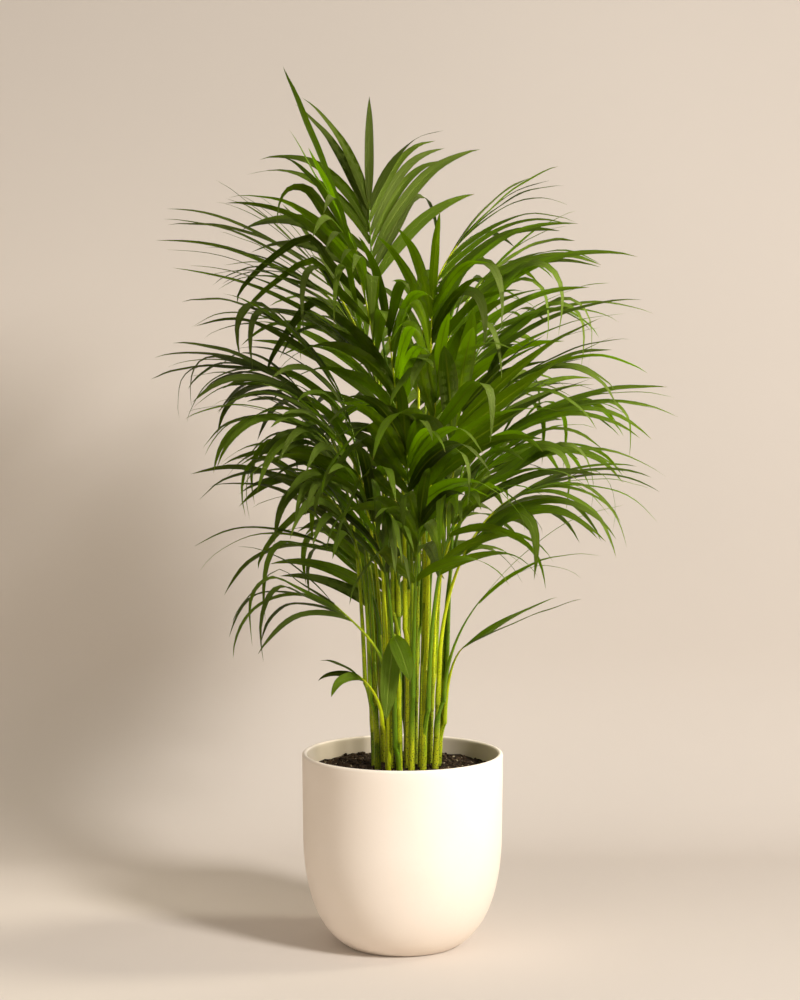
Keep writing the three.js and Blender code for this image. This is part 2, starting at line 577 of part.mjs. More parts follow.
// ---------------------------------------------------------------- fronds
/** Builds a frond as one closed mesh: the rachis is skinned in bands, and its leaflets grow from it. */
function frondGeometry(frond, laid, leaflets) {
  const half = LEAFLET_BASE / 2 / laid.length;
  const marks = [];
  for (let band = 0; band < PETIOLE_BANDS; band++) {
    marks.push({ share: (frond.from * band) / PETIOLE_BANDS, grows: [] });
  }
  for (const share of [...new Set(leaflets.map((leaflet) => leaflet.share))].sort((a, b) => a - b)) {
    if (share === 1) continue;
    marks.push({ share: share - half, grows: leaflets.filter((leaflet) => leaflet.share === share) });
    marks.push({ share: share + half, grows: [] });
  }
  const points = [];
  const triangles = [];
  const add = (corners) => corners.map((corner) => points.push(corner) - 1);
  const close = (ring, leaflet) => {
    let from = ring;
    if (leaflet) {
      for (const section of leafletRings(leaflet)) {
        const to = add(section);
        triangles.push(...skinBlade(points, from, to));
        from = to;
      }
      const [tip] = add([leaflet.spine[LEAFLET_STEPS]]);
      from.forEach((a, i) => triangles.push([a, from[(i + 1) % 3], tip]));
    } else triangles.push(ring);
  };
  let before = add(rachisSection(frond, laid, 0));
  let growing = [];
  triangles.push([before[0], before[2], before[1]]);
  for (const { share, grows } of [...marks.slice(1), { share: 1, grows: [] }]) {
    const ring = add(rachisSection(frond, laid, share));
    const [l0, r0, k0] = before;
    const [l1, r1, k1] = ring;
    triangles.push([l0, r0, r1], [l0, r1, l1], [r0, k0, k1], [k0, l1, k1]);
    close([r0, k1, r1], growing.find((leaflet) => leaflet.side < 0));
    close([k0, l0, l1], growing.find((leaflet) => leaflet.side > 0));
    before = ring;
    growing = grows;
  }
  close(before, leaflets.find((leaflet) => leaflet.side === 0));
  return geometryOf(points, triangles);
}

// ---------------------------------------------------------------- the whole plant
const material = (color, roughness) => new THREE.MeshStandardMaterial({ color, roughness, metalness: 0 });
const plant = new THREE.Group();
const numbered = (name, index) => name + "_" + String(index + 1).padStart(2, "0");

function place(name, geometry, look) {
  const mesh = new THREE.Mesh(geometry, look);
  mesh.name = name;
  plant.add(mesh);
}

const crowd = new Crowd();
const pot = makePot();
place("pot", pot, material(0xf1e4cf, 0.55));
crowd.add(solidOf(pot), "pot");

const canes = CANES.map(layCane);
for (const cane of canes) cane.solid = solidOf(caneGeometry(cane, 0));
const soil = makeSoil(canes);
place("soil", soil, material(0x2a211b, 0.95));
crowd.add(solidOf(soil), "soil");
canes.forEach((cane, index) => {
  crowd.add(cane.solid, "cane" + index);
  place(numbered("cane", index), caneGeometry(cane, 0), material(0x93a52c, 0.5));
});

const ranks = canes.map(() => 0);
const rachises = FRONDS.map((frond, number) => settleRachis(frond, number, canes, ranks, crowd));
FRONDS.forEach((frond, number) => {
  const laid = rachises[number];
  const leaflets = [settleLeaflet(frond, number, laid, 0, 0, crowd)];
  for (let index = 0; index < frond.pairs; index++) {
    for (const side of [-1, 1]) leaflets.push(settleLeaflet(frond, number, laid, index, side, crowd));
  }
  const grown = leaflets.filter((leaflet) => leaflet !== null);
  place(numbered("frond", number), frondGeometry(frond, laid, grown), material(0x3c7014, 0.4));
});

export default plant;
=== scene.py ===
"""A clumping feather palm in a cream ceramic planter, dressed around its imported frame."""

import json
import logging
import math
import random
from dataclasses import dataclass, field
from enum import IntEnum
from typing import Any, Iterable, Sequence

import bmesh
import bpy
from mathutils import Matrix, Vector, noise

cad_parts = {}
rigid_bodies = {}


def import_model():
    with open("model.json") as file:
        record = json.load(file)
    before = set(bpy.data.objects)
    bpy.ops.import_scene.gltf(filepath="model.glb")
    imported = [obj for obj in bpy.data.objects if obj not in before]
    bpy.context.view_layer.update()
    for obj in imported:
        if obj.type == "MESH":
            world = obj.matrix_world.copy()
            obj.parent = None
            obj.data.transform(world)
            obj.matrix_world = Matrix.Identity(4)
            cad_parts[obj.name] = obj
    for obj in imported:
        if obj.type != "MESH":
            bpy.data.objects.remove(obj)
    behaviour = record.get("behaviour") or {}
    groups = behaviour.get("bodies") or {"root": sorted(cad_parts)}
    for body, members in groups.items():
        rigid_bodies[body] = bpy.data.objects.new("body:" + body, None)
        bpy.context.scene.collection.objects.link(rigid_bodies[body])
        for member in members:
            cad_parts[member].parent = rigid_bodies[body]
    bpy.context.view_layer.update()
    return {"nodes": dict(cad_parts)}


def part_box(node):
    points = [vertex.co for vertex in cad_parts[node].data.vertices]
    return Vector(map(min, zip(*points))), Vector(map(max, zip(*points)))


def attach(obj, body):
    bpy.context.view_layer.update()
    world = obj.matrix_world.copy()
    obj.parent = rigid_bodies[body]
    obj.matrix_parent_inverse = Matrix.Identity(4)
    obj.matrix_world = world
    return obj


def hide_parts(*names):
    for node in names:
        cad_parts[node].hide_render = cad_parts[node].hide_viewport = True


LOG = logging.getLogger("palm")
MM = 0.001
UP = Vector((0.0, 0.0, 1.0))
Colour = tuple[float, float, float]

SURFACE_MAP = "surface"  # the map of a tube: the place round it and along it
SHADE = "shade"  # the number that each point carries, which varies its finish; on the planter it marks the inner wall for painted shade, and on the leaflets it carries painted light
SLENDER = 0.88  # a stem's thickness as a share of its solid's
MERGE = 1e-6  # points of a solid that are nearer than this are one
FINE_MERGE = 1e-7  # the same for points of a new piece's tubes


class SoilPart(IntEnum):
    """The finishes of the soil, by their place among its materials."""

    MIX = 0
    GRIT = 1


class FrondPart(IntEnum):
    """The finishes of a frond, by their place among its materials."""

    LEAF = 0
    STALK = 1


# ---------------------------------------------------------------- small sums
def mix(a: Any, b: Any, share: float) -> Any:
    """Return the value a share of the way from a to b."""
    return a + (b - a) * share


def clamp(x: float) -> float:
    """Return x held between 0 and 1."""
    return min(1.0, max(0.0, x))


def smooth(x: float) -> float:
    """Return x held between 0 and 1, eased at both ends."""
    x = clamp(x)
    return x * x * (3.0 - 2.0 * x)


def rgba(colour: Colour) -> tuple[float, float, float, float]:
    """Return a colour with full alpha."""
    return (*colour, 1.0)


# ---------------------------------------------------------------- shader arithmetic
class Value:
    """A shader socket that does arithmetic: each expression adds the node it needs."""

    def __init__(self, shop: "Workshop", socket: bpy.types.NodeSocket) -> None:
        """Wrap an output socket of a workshop's material."""
        self.shop = shop
        self.socket = socket

    def _math(self, operation: str, *others: Any, first: bool = True) -> "Value":
        """Add a Math node.

        Args:
            operation: the node's operation.
            *others: the other operands, values or numbers.
            first: whether this value is the first operand.

        Returns:
            The node's result.
        """
        maths = self.shop.node("ShaderNodeMath", {"operation": operation})
        operands = [self, *others] if first else [*others, self]
        for socket, operand in zip(maths.inputs, operands):
            self.shop.feed(socket, operand)
        return self.shop.value(maths)

    def __add__(self, other: Any) -> "Value":
        """Return self + other."""
        return self._math("ADD", other)

    __radd__ = __add__

    def __mul__(self, other: Any) -> "Value":
        """Return self * other."""
        return self._math("MULTIPLY", other)

    __rmul__ = __mul__

    def __sub__(self, other: Any) -> "Value":
        """Return self - other."""
        return self._math("SUBTRACT", other)

    def __rsub__(self, other: Any) -> "Value":
        """Return other - self."""
        return self._math("SUBTRACT", other, first=False)

    def __abs__(self) -> "Value":
        """Return the size of self."""
        return self._math("ABSOLUTE")

    def sine(self) -> "Value":
        """Return the sine of self."""
        return self._math("SINE")

    def fraction(self) -> "Value":
        """Return the part of self after the point."""
        return self._math("FRACT")

    def over(self, edge: float) -> "Value":
        """Return 1 where self is over an edge, otherwise 0."""
        return self._math("GREATER_THAN", edge)

    def ramp(self, low: float, high: float) -> "Value":
        """Return self eased from 0 at low to 1 at high.

        Args:
            low: the value that gives 0.
            high: the value that gives 1.

        Returns:
            The eased value.
        """
        eased = {"interpolation_type": "SMOOTHSTEP"}
        made = self.shop.node("ShaderNodeMapRange", eased, Value=self, From_Min=low, From_Max=high)
        return self.shop.value(made, "Result")


class Workshop:
    """Builds one material: its nodes, and what feeds its shader."""

    def __init__(self, name: str) -> None:
        """Start a material with a bare Principled shader.

        Args:
            name: the material's name.
        """
        self.material = bpy.data.materials.new(name)
        self.material.use_nodes = True
        self.tree = self.material.node_tree
        self.tree.nodes.clear()
        self.output = self.node("ShaderNodeOutputMaterial")
        self.shader = self.node("ShaderNodeBsdfPrincipled")
        self.tree.links.new(self.shader.outputs[0], self.output.inputs["Surface"])

    def node(self, kind: str, settings: dict[str, Any] | None = None, **sockets: Any) -> bpy.types.Node:
        """Add a node.

        Args:
            kind: the node's type.
            settings: the node's own properties, which are set first.
            **sockets: values, numbers or colours by socket name, with _ for a space.

        Returns:
            The new node.
        """
        made = self.tree.nodes.new(kind)
        for key, setting in (settings or {}).items():
            setattr(made, key, setting)
        for key, given in sockets.items():
            self.feed(made.inputs[key.replace("_", " ")], given)
        return made

    def feed(self, socket: bpy.types.NodeSocket, given: Any) -> None:
        """Link a value to a socket, or set the socket to a number, colour or vector.

        Args:
            socket: an input socket.
            given: what it gets.
        """
        if isinstance(given, Value):
            self.tree.links.new(given.socket, socket)
        elif isinstance(given, tuple) and len(given) == 3 and socket.type == "RGBA":
            socket.default_value = rgba(given)
        else:
            socket.default_value = given

    def value(self, made: bpy.types.Node, output: str | int = 0) -> Value:
        """Return one output of a node as a value."""
        return Value(self, made.outputs[output])

    def objects(self) -> Value:
        """Return the Object coordinates."""
        return self.value(self.node("ShaderNodeTexCoord"), "Object")

    def attribute(self, name: str) -> Value:
        """Return a number that the mesh carries at each point."""
        return self.value(self.node("ShaderNodeAttribute", {"attribute_name": name}), "Fac")

    def unwrapped(self) -> tuple[Value, Value]:
        """Return the place round and along a surface, each from 0 to 1.

        Returns:
            The two places, as values.
        """
        place = self.node("ShaderNodeUVMap", {"uv_map": SURFACE_MAP})
        split = self.node("ShaderNodeSeparateXYZ", Vector=self.value(place))
        return self.value(split, "X"), self.value(split, "Y")

    def vector(self, x: Any, y: Any, z: Any) -> Value:
        """Return a vector of three values."""
        return self.value(self.node("ShaderNodeCombineXYZ", X=x, Y=y, Z=z))

    def cloud(self, place: Value, scale: float, detail: float = 3.0, rough: float = 0.55) -> Value:
        """Return soft noise from 0 to 1 about a place."""
        made = self.node("ShaderNodeTexNoise", Vector=place, Scale=scale, Detail=detail, Roughness=rough)
        return self.value(made, "Fac")

    def blend(self, a: Any, b: Any, share: Any) -> Value:
        """Return a colour between two colours.

        Args:
            a: the first colour.
            b: the second colour.
            share: how much of the second colour is in it.

        Returns:
            The blended colour.
        """
        made = self.node("ShaderNodeMix", {"data_type": "RGBA"}, Factor=share)
        first, second = (socket for socket in made.inputs if socket.type == "RGBA")
        self.feed(first, a)
        self.feed(second, b)
        return Value(self, next(socket for socket in made.outputs if socket.type == "RGBA"))

    def relief(self, height: Value, depth: float, strength: float = 1.0) -> None:
        """Raise the surface by a height, as a bump on the shader's normal."""
        bump = self.node("ShaderNodeBump", Height=height, Distance=depth, Strength=strength)
        self.feed(self.shader.inputs["Normal"], self.value(bump))

    def dress(self, **sockets: Any) -> None:
        """Set or link the shader's own sockets."""
        for key, given in sockets.items():
            self.feed(self.shader.inputs[key.replace("_", " ")], given)

    def share_with(self, other: bpy.types.Node, share: Value) -> None:
        """Give a share of the surface to another shader.

        Args:
            other: the other shader's node.
            share: how much of the surface it takes.
        """
        both = self.node("ShaderNodeMixShader", Fac=share)
        self.tree.links.new(self.shader.outputs[0], both.inputs[1])
        self.tree.links.new(other.outputs[0], both.inputs[2])
        self.tree.links.new(both.outputs[0], self.output.inputs["Surface"])


# ---------------------------------------------------------------- finishes
@dataclass(frozen=True)
class GlazeFinish:
    """The planter's matte cream glaze."""

    cream: Colour = (0.90, 0.80, 0.70)
    warm: Colour = (0.86, 0.75, 0.63)
    # painted shade: the darker tone laid on the planter's inner wall, standing in for the shadow inside it
    painted_inner_shade: Colour = (0.46, 0.38, 0.25)
    roughness: float = 0.52
    cloud_scale: float = 7.0
    peel_scale: float = 160.0
    freckle_scale: float = 420.0
    grain_scale: float = 900.0
    relief: float = 0.35 * MM

    def make(self) -> bpy.types.Material:
        """Return the glaze, faintly clouded and very finely grained, with painted shade on its inner wall.

        Returns:
            The material.
        """
        shop = Workshop("cream_glaze")
        place = shop.objects()
        cloud = shop.cloud(place, self.cloud_scale, 4.0)
        grain = shop.cloud(place, self.grain_scale, 2.0)
        orange_peel = shop.cloud(place, self.peel_scale, 2.0)
        freckle = shop.cloud(place, self.freckle_scale, 1.0).ramp(0.70, 0.78)
        colour = shop.blend(self.cream, self.warm, cloud.ramp(0.35, 0.75) * 0.55 + freckle * 0.25)
        # painted shade: the inner wall, marked by the shade attribute, is darkened as if in shadow
        colour = shop.blend(colour, self.painted_inner_shade, shop.attribute(SHADE) * (0.35 + cloud * 0.5))
        shop.dress(
            Base_Color=colour,
            Roughness=self.roughness + (cloud - 0.5) * 0.12 + (grain - 0.5) * 0.10,
            Specular_IOR_Level=0.42,
        )
        shop.relief(orange_peel * 0.6 + grain * 0.25, self.relief, 0.5)
        return shop.material


@dataclass(frozen=True)
class SoilFinish:
    """Moist peat mix: almost black, with browner crumbs."""

    dark: Colour = (0.009, 0.007, 0.005)
    brown: Colour = (0.100, 0.062, 0.034)
    lump_scale: float = 90.0
    fibre_scale: float = 420.0
    relief: float = 4.0 * MM

    def make(self) -> bpy.types.Material:
        """Return the soil, coarse and fine at once.

        Returns:
            The material.
        """
        shop = Workshop("potting_mix")
        place = shop.objects()
        lumps = shop.cloud(place, self.lump_scale, 6.0, 0.7)
        fibres = shop.cloud(place, self.fibre_scale, 4.0, 0.7)
        colour = shop.blend(self.dark, self.brown, (lumps * 0.6 + fibres * 0.5).ramp(0.44, 0.74))
        shop.dress(Base_Color=colour, Roughness=0.82 + fibres * 0.18, Specular_IOR_Level=0.10)
        shop.relief(lumps + fibres * 0.5, self.relief, 0.9)
        return shop.material


@dataclass(frozen=True)
class GritFinish:
    """Pale grit and bark in the soil."""

    pale: Colour = (0.42, 0.35, 0.22)
    bark: Colour = (0.15, 0.10, 0.055)
    grain_scale: float = 600.0
    relief: float = 0.8 * MM

    def make(self) -> bpy.types.Material:
        """Return the grit, from bark brown to pale straw by piece.

        Returns:
            The material.
        """
        shop = Workshop("soil_grit")
        fine = shop.cloud(shop.objects(), self.grain_scale, 4.0, 0.7)
        colour = shop.blend(self.bark, self.pale, shop.attribute(SHADE))
        colour = shop.blend(colour, self.bark, fine.ramp(0.55, 0.8) * 0.6)
        shop.dress(Base_Color=colour, Roughness=0.85 + fine * 0.12, Specular_IOR_Level=0.2)
        shop.relief(fine, self.relief, 0.8)
        return shop.material


@dataclass(frozen=True)
class StalkFinish:
    """Smooth living skin of canes, petioles and rachises."""

    name: str
    lime: Colour
    green: Colour
    foot: Colour
    speckles: float
    roughness: float = 0.42
    spot: Colour = (0.020, 0.018, 0.008)
    streaks_round: float = 22.0
    streaks_along: float = 1.4
    streak_shift: float = 31.0
    blotch_scale: float = 34.0
    spot_scale: float = 480.0
    rib_count: float = 13.0
    relief: float = 0.5 * MM
    glow_depth: float = 4.0 * MM

    def make(self) -> bpy.types.Material:
        """Return the skin, streaked lengthwise and freckled towards its foot.

        Returns:
            The material.
        """
        shop = Workshop(self.name)
        around, along = shop.unwrapped()
        shade = shop.attribute(SHADE)
        place = shop.objects()
        shift = shade * self.streak_shift
        grain = shop.vector(around * self.streaks_round, along * self.streaks_along, shift)
        streaks = shop.cloud(grain, 1.0, 3.0)
        blotches = shop.cloud(place, self.blotch_scale, 3.0)
        tone = streaks * 1.3 + blotches * 0.5 + shade * 0.7
        colour = shop.blend(self.lime, self.green, tone.ramp(0.90, 1.50))
        colour = shop.blend(self.foot, colour, along.ramp(0.0, 0.30))
        spots = shop.cloud(place, self.spot_scale, 2.0, 0.6).ramp(0.54, 0.61)
        near_foot = 1.0 - along.ramp(0.10, 0.85)
        colour = shop.blend(colour, self.spot, spots * near_foot * self.speckles)
        ribs = (around * (math.tau * self.rib_count)).sine()
        shop.dress(
            Base_Color=colour,
            Roughness=self.roughness + (streaks - 0.5) * 0.2,
            Specular_IOR_Level=0.32,
            Specular_Tint=(1.0, 1.0, 0.40),
            Subsurface_Weight=0.12,
            Subsurface_Scale=self.glow_depth,
        )
        shop.relief(ribs * 0.25 + streaks * 0.8 + spots * 0.3, self.relief, 0.6)
        return shop.material


CANE_FINISH = StalkFinish(
    name="cane_skin",
    lime=(0.50, 0.52, 0.012),
    green=(0.075, 0.14, 0.004),
    foot=(0.22, 0.24, 0.015),
    speckles=1.0,
)
STALK_FINISH = StalkFinish(
    name="stalk_skin",
    lime=(0.50, 0.57, 0.008),
    green=(0.085, 0.17, 0.004),
    foot=(0.30, 0.36, 0.010),
    speckles=0.5,
)


@dataclass(frozen=True)
class LeafFinish:
    """A leaflet: ribbed, glossy above and paler below, yellower at its foot and dry at its tip."""

    deep: Colour = (0.007, 0.018, 0.000)
    fresh: Colour = (0.112, 0.186, 0.000)
    rib: Colour = (0.22, 0.29, 0.008)
    foot: Colour = (0.20, 0.28, 0.004)
    dry: Colour = (0.26, 0.17, 0.05)
    below: Colour = (0.095, 0.130, 0.022)
    edge: Colour = (0.070, 0.055, 0.012)
    lit: Colour = (0.46, 0.66, 0.000)
    see_through: float = 0.38
    roughness: float = 0.36
    vein_count: float = 34.0
    veins_along: float = 2.2
    vein_shift: float = 57.0
    patch_scale: float = 26.0
    pleat_place: float = 0.52
    rib_count: float = 17.0
    relief: float = 0.6 * MM

    def make(self) -> bpy.types.Material:
        """Return the leaflet's skin.

        Returns:
            The material.
        """
        shop = Workshop("leaflet_skin")
        around, along = shop.unwrapped()
        shade = shop.attribute(SHADE)
        turn = (around * 2.0).fraction()
        margin = abs(turn * 2.0 - 1.0)
        underside = around.over(0.5)
        grain = shop.vector(turn * self.vein_count, along * self.veins_along, shade * self.vein_shift)
        veins = shop.cloud(grain, 1.0, 2.0, 0.5)
        patches = shop.cloud(shop.objects(), self.patch_scale, 3.0)
        keel = 1.0 - margin.ramp(0.02, 0.13)
        pleat = 1.0 - abs(margin - self.pleat_place).ramp(0.0, 0.07)
        # the shade attribute carries painted light, so leaflets towards the key lamp's side come out
        # brighter and let more light through
        tone = (shade * 1.05 + patches * 0.45 + veins * 0.45 - 0.42).ramp(0.0, 1.0)
        colour = shop.blend(self.deep, self.fresh, tone)
        colour = shop.blend(colour, self.rib, keel * 0.45 + pleat * 0.16)
        colour = shop.blend(colour, self.below, underside * 0.55)
        colour = shop.blend(colour, self.edge, margin.ramp(0.86, 0.98) * (0.25 + patches * 0.8))
        colour = shop.blend(self.foot, colour, along.ramp(0.0, 0.10))
        burnt = along.ramp(0.955, 1.0) * shade.ramp(0.35, 0.8)
        colour = shop.blend(colour, self.dry, burnt)
        shop.dress(
            Base_Color=colour,
            Roughness=self.roughness + veins * 0.12 + patches * 0.10 + underside * 0.16,
            Specular_IOR_Level=0.20,
            Specular_Tint=(1.0, 1.0, 0.30),
        )
        fine = (turn * (math.tau * self.rib_count)).sine()
        shop.relief(veins * 0.7 + fine * 0.16 + pleat * 0.7 - keel * 0.9, self.relief, 0.75)
        light_through = self.see_through * (1.0 - keel * 0.6) * (0.45 + shade)
        shop.share_with(shop.node("ShaderNodeBsdfTranslucent", Color=self.lit), light_through)
        return shop.material


@dataclass(frozen=True)
class PlasterFinish:
    """The plain pale floor and wall, which can be seen through from behind."""

    colour: Colour = (0.69, 0.625, 0.565)
    worn: Colour = (0.66, 0.595, 0.535)
    cloud_scale: float = 1.1
    grain_scale: float = 60.0

    def make(self) -> bpy.types.Material:
        """Return the plaster.

        Returns:
            The material.
        """
        shop = Workshop("studio_plaster")
        cloud = shop.cloud(shop.objects(), self.cloud_scale, 2.0)
        fine = shop.cloud(shop.objects(), self.grain_scale, 3.0)
        colour = shop.blend(self.colour, self.worn, cloud.ramp(0.3, 0.75) * 0.5)
        shop.dress(Base_Color=colour, Roughness=0.85 + fine * 0.1, Specular_IOR_Level=0.2)
        rear = shop.value(shop.node("ShaderNodeNewGeometry"), "Backfacing")
        shop.share_with(shop.node("ShaderNodeBsdfTransparent"), rear)
        return shop.material


# ---------------------------------------------------------------- shaping
class Form:
    """One piece's mesh in the making, with its surface map and its shade."""

    def __init__(self) -> None:
        """Start an empty mesh."""
        self.bm = bmesh.new()
        self.bm.loops.layers.uv.new(SURFACE_MAP)
        self.shade = self.bm.verts.layers.float.new(SHADE)

    def wrap(
        self,
        rings: Sequence[Sequence[Vector]],
        shade: float,
        material: int = 0,
        creased: Sequence[int] = (),
    ) -> None:
        """Bend a grid into a closed tube through rings of points, all of one length.

        Args:
            rings: the tube's rings, whose first and last are each a single point repeated.
            shade: the tone that the finish gives this tube.
            material: the number of its material.
            creased: the places in a ring along which the tube has a crisp edge. The seam has two, the
                first place and the one past the last.
        """
        around = len(rings[0])
        grid = bmesh.ops.create_grid(
            self.bm, x_segments=around, y_segments=len(rings) - 1, size=1.0, calc_uvs=True
        )
        verts = grid["verts"]
        for index, vert in enumerate(verts):
            row, column = divmod(index, around + 1)
            vert.co = rings[row][column % around]
            vert[self.shade] = shade
        for face in {face for vert in verts for face in vert.link_faces}:
            face.smooth = True
            face.material_index = material
        for column in creased:
            line = [verts[row * (around + 1) + column] for row in range(len(rings))]
            for a, b in zip(line, line[1:]):
                self.bm.edges.get((a, b)).smooth = False
        bmesh.ops.remove_doubles(self.bm, verts=verts, dist=FINE_MERGE)

    def spin(self, section: Sequence[Vector], turns: int) -> None:
        """Turn a section into a closed shell about the upright axis, where both its ends lie.

        Args:
            section: its points in order.
            turns: how many steps the full turn has.
        """
        verts = [self.bm.verts.new(point) for point in section]
        edges = [self.bm.edges.new(pair) for pair in zip(verts, verts[1:])]
        bmesh.ops.spin(
            self.bm,
            geom=verts + edges,
            cent=(0, 0, 0),
            axis=(0, 0, 1),
            angle=math.tau,
            steps=turns,
            use_merge=True,
        )
        bmesh.ops.remove_doubles(self.bm, verts=self.bm.verts, dist=MERGE)
        for face in self.bm.faces:
            face.smooth = True

    def finish(
        self, name: str, materials: Iterable[bpy.types.Material], body: str = "root"
    ) -> bpy.types.Object:
        """Close the mesh and make it a piece that rides on a body.

        Args:
            name: the piece's name.
            materials: its materials in order.
            body: the body that it rides on.

        Returns:
            The piece.
        """
        bmesh.ops.dissolve_degenerate(self.bm, dist=FINE_MERGE, edges=self.bm.edges)
        bmesh.ops.recalc_face_normals(self.bm, faces=self.bm.faces)
        mesh = bpy.data.meshes.new(name)
        self.bm.to_mesh(mesh)
        self.bm.free()
        for material in materials:
            mesh.materials.append(material)
        piece = bpy.data.objects.new(name, mesh)
        bpy.context.scene.collection.objects.link(piece)
        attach(piece, body)
        return piece


def ring(centre: Vector, side: Vector, out: Vector, width: float, depth: float, count: int) -> list[Vector]:
    """Return points round an oval.

    Args:
        centre: its middle.
        side: the direction of its width.
        out: the direction of its depth.
        width: half its width.
        depth: half its depth.
        count: how many points.

    Returns:
        The points in order.
    """
    turns = [math.tau * k / count for k in range(count)]
    return [centre + side * (width * math.cos(a)) + out * (depth * math.sin(a)) for a in turns]


class Path:
    """A smooth curve through points, each at its own share of the whole."""

    def __init__(self, points: Sequence[Vector], shares: Sequence[float]) -> None:
        """Work out a direction at each point from its neighbours.

        Args:
            points: the points in order.
            shares: the share of the whole at each point.
        """
        self.points = list(points)
        self.shares = list(shares)
        spans = [t - s for s, t in zip(shares, shares[1:])]
        steps = [(b - a) / span for a, b, span in zip(points, points[1:], spans)]
        inner = [
            (a * v + b * u) / (u + v) for a, b, u, v in zip(steps, steps[1:], spans, spans[1:])
        ]
        first = steps[0] * 2.0 - inner[0]
        last = steps[-1] * 2.0 - inner[-1]
        self.slopes = [first, *inner, last]

    def at(self, share: float) -> tuple[Vector, Vector]:
        """Return the point at a share of the curve, and the direction there.

        Args:
            share: the share of the whole.

        Returns:
            The point, and the direction there.
        """
        k = max(i for i in range(len(self.shares) - 1) if i == 0 or self.shares[i] <= share)
        span = self.shares[k + 1] - self.shares[k]
        t = (share - self.shares[k]) / span
        p, q = self.points[k], self.points[k + 1]
        m, n = self.slopes[k] * span, self.slopes[k + 1] * span
        point = (
            p * (2 * t**3 - 3 * t**2 + 1)
            + m * (t**3 - 2 * t**2 + t)
            + q * (3 * t**2 - 2 * t**3)
            + n * (t**3 - t**2)
        )
        slope = (
            p * (6 * t**2 - 6 * t)
            + m * (3 * t**2 - 4 * t + 1)
            + q * (6 * t - 6 * t**2)
            + n * (3 * t**2 - 2 * t)
        )
        return point, slope.normalized()


# ---------------------------------------------------------------- planter and soil
@dataclass
class Planter:
    """The U-shaped planter, turned about its upright axis from its own section."""

    lip: float = 3.5 * MM
    wall: float = 7.0 * MM
    floor: float = 9.0 * MM
    foot_relief: float = 1.2 * MM
    foot_rim: tuple[float, float, float] = (0.86, 0.90, 0.985)
    below_lip: float = 4.0 * MM
    above_floor: float = 3.0 * MM
    # the painted shade on the inner wall starts at this height
    painted_shade_from: float = 20.0 * MM
    least_radius: float = 20.0 * MM
    slack: float = 0.01 * MM
    turns: int = 144
    outer_rows: int = 40
    lip_rows: int = 8
    inner_rows: int = 27
    outline: list[tuple[float, float]] = field(default_factory=list)

    def measure(self) -> None:
        """Read the planter's outer outline from its solid: the radius at each height."""
        node = bpy.data.objects["pot"]
        heights: dict[float, float] = {}
        for vert in node.data.vertices:
            key = round(vert.co.z, 5)
            heights[key] = max(heights.get(key, 0.0), math.hypot(vert.co.x, vert.co.y))
        outer = sorted((z, r) for z, r in heights.items() if r > self.least_radius)
        rising = [outer[0]]
        for z, r in outer[1:]:
            if r >= rising[-1][1] - self.slack:
                rising.append((z, r))
        self.outline = rising

    def radius(self, height: float) -> float:
        """Return the outer radius at a height.

        Args:
            height: the height, in metres.

        Returns:
            The radius, in metres.
        """
        points = self.outline
        for (z0, r0), (z1, r1) in zip(points, points[1:]):
            if z0 <= height <= z1:
                return mix(r0, r1, (height - z0) / (z1 - z0))
        return points[-1][1]

    def section(self) -> list[Vector]:
        """Return the section from the middle of the foot, round the lip, to the middle of the floor.

        Returns:
            The points of the section, on the side of positive x.
        """
        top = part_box("pot")[1].z
        shoulder = top - self.lip
        centre = self.radius(top) - self.lip
        path = Path([Vector((r, 0.0, z)) for z, r in self.outline[:-1]], [z for z, _ in self.outline[:-1]])
        foot = self.outline[0][1]
        rise, inner, outer = (foot * share for share in self.foot_rim)
        points = [Vector((0.0, 0.0, self.foot_relief)), Vector((rise, 0.0, self.foot_relief))]
        points += [Vector((inner, 0.0, 0.0)), Vector((outer, 0.0, 0.0))]
        for k in range(1, self.outer_rows):
            z = shoulder * (k / self.outer_rows) ** 1.7
            points.append(Vector((path.at(z)[0].x if z < path.shares[-1] else self.radius(z), 0.0, z)))
        for k in range(self.lip_rows + 1):
            turn = math.pi * k / self.lip_rows
            points.append(
                Vector((centre + self.lip * math.cos(turn), 0.0, shoulder + self.lip * math.sin(turn)))
            )
        for k in range(self.inner_rows + 1):
            share = (k / self.inner_rows) ** 0.8
            z = mix(shoulder - self.below_lip, self.floor + self.above_floor, share)
            points.append(Vector((self.radius(z) - self.wall, 0.0, z)))
        points.append(Vector((0.0, 0.0, self.floor)))
        return points

    def build(self, glaze: bpy.types.Material) -> bpy.types.Object:
        """Turn the section and dress the planter.

        Args:
            glaze: its finish.

        Returns:
            The planter.
        """
        self.measure()
        form = Form()
        form.spin(self.section(), self.turns)
        for vert in form.bm.verts:
            depth = self.radius(vert.co.z) - math.hypot(vert.co.x, vert.co.y)
            # marks the inner wall for the glaze's painted shade
            vert[form.shade] = float(depth > self.wall * 0.9 and vert.co.z > self.painted_shade_from)
        piece = form.finish("planter", [glaze])
        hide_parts("pot")
        return piece


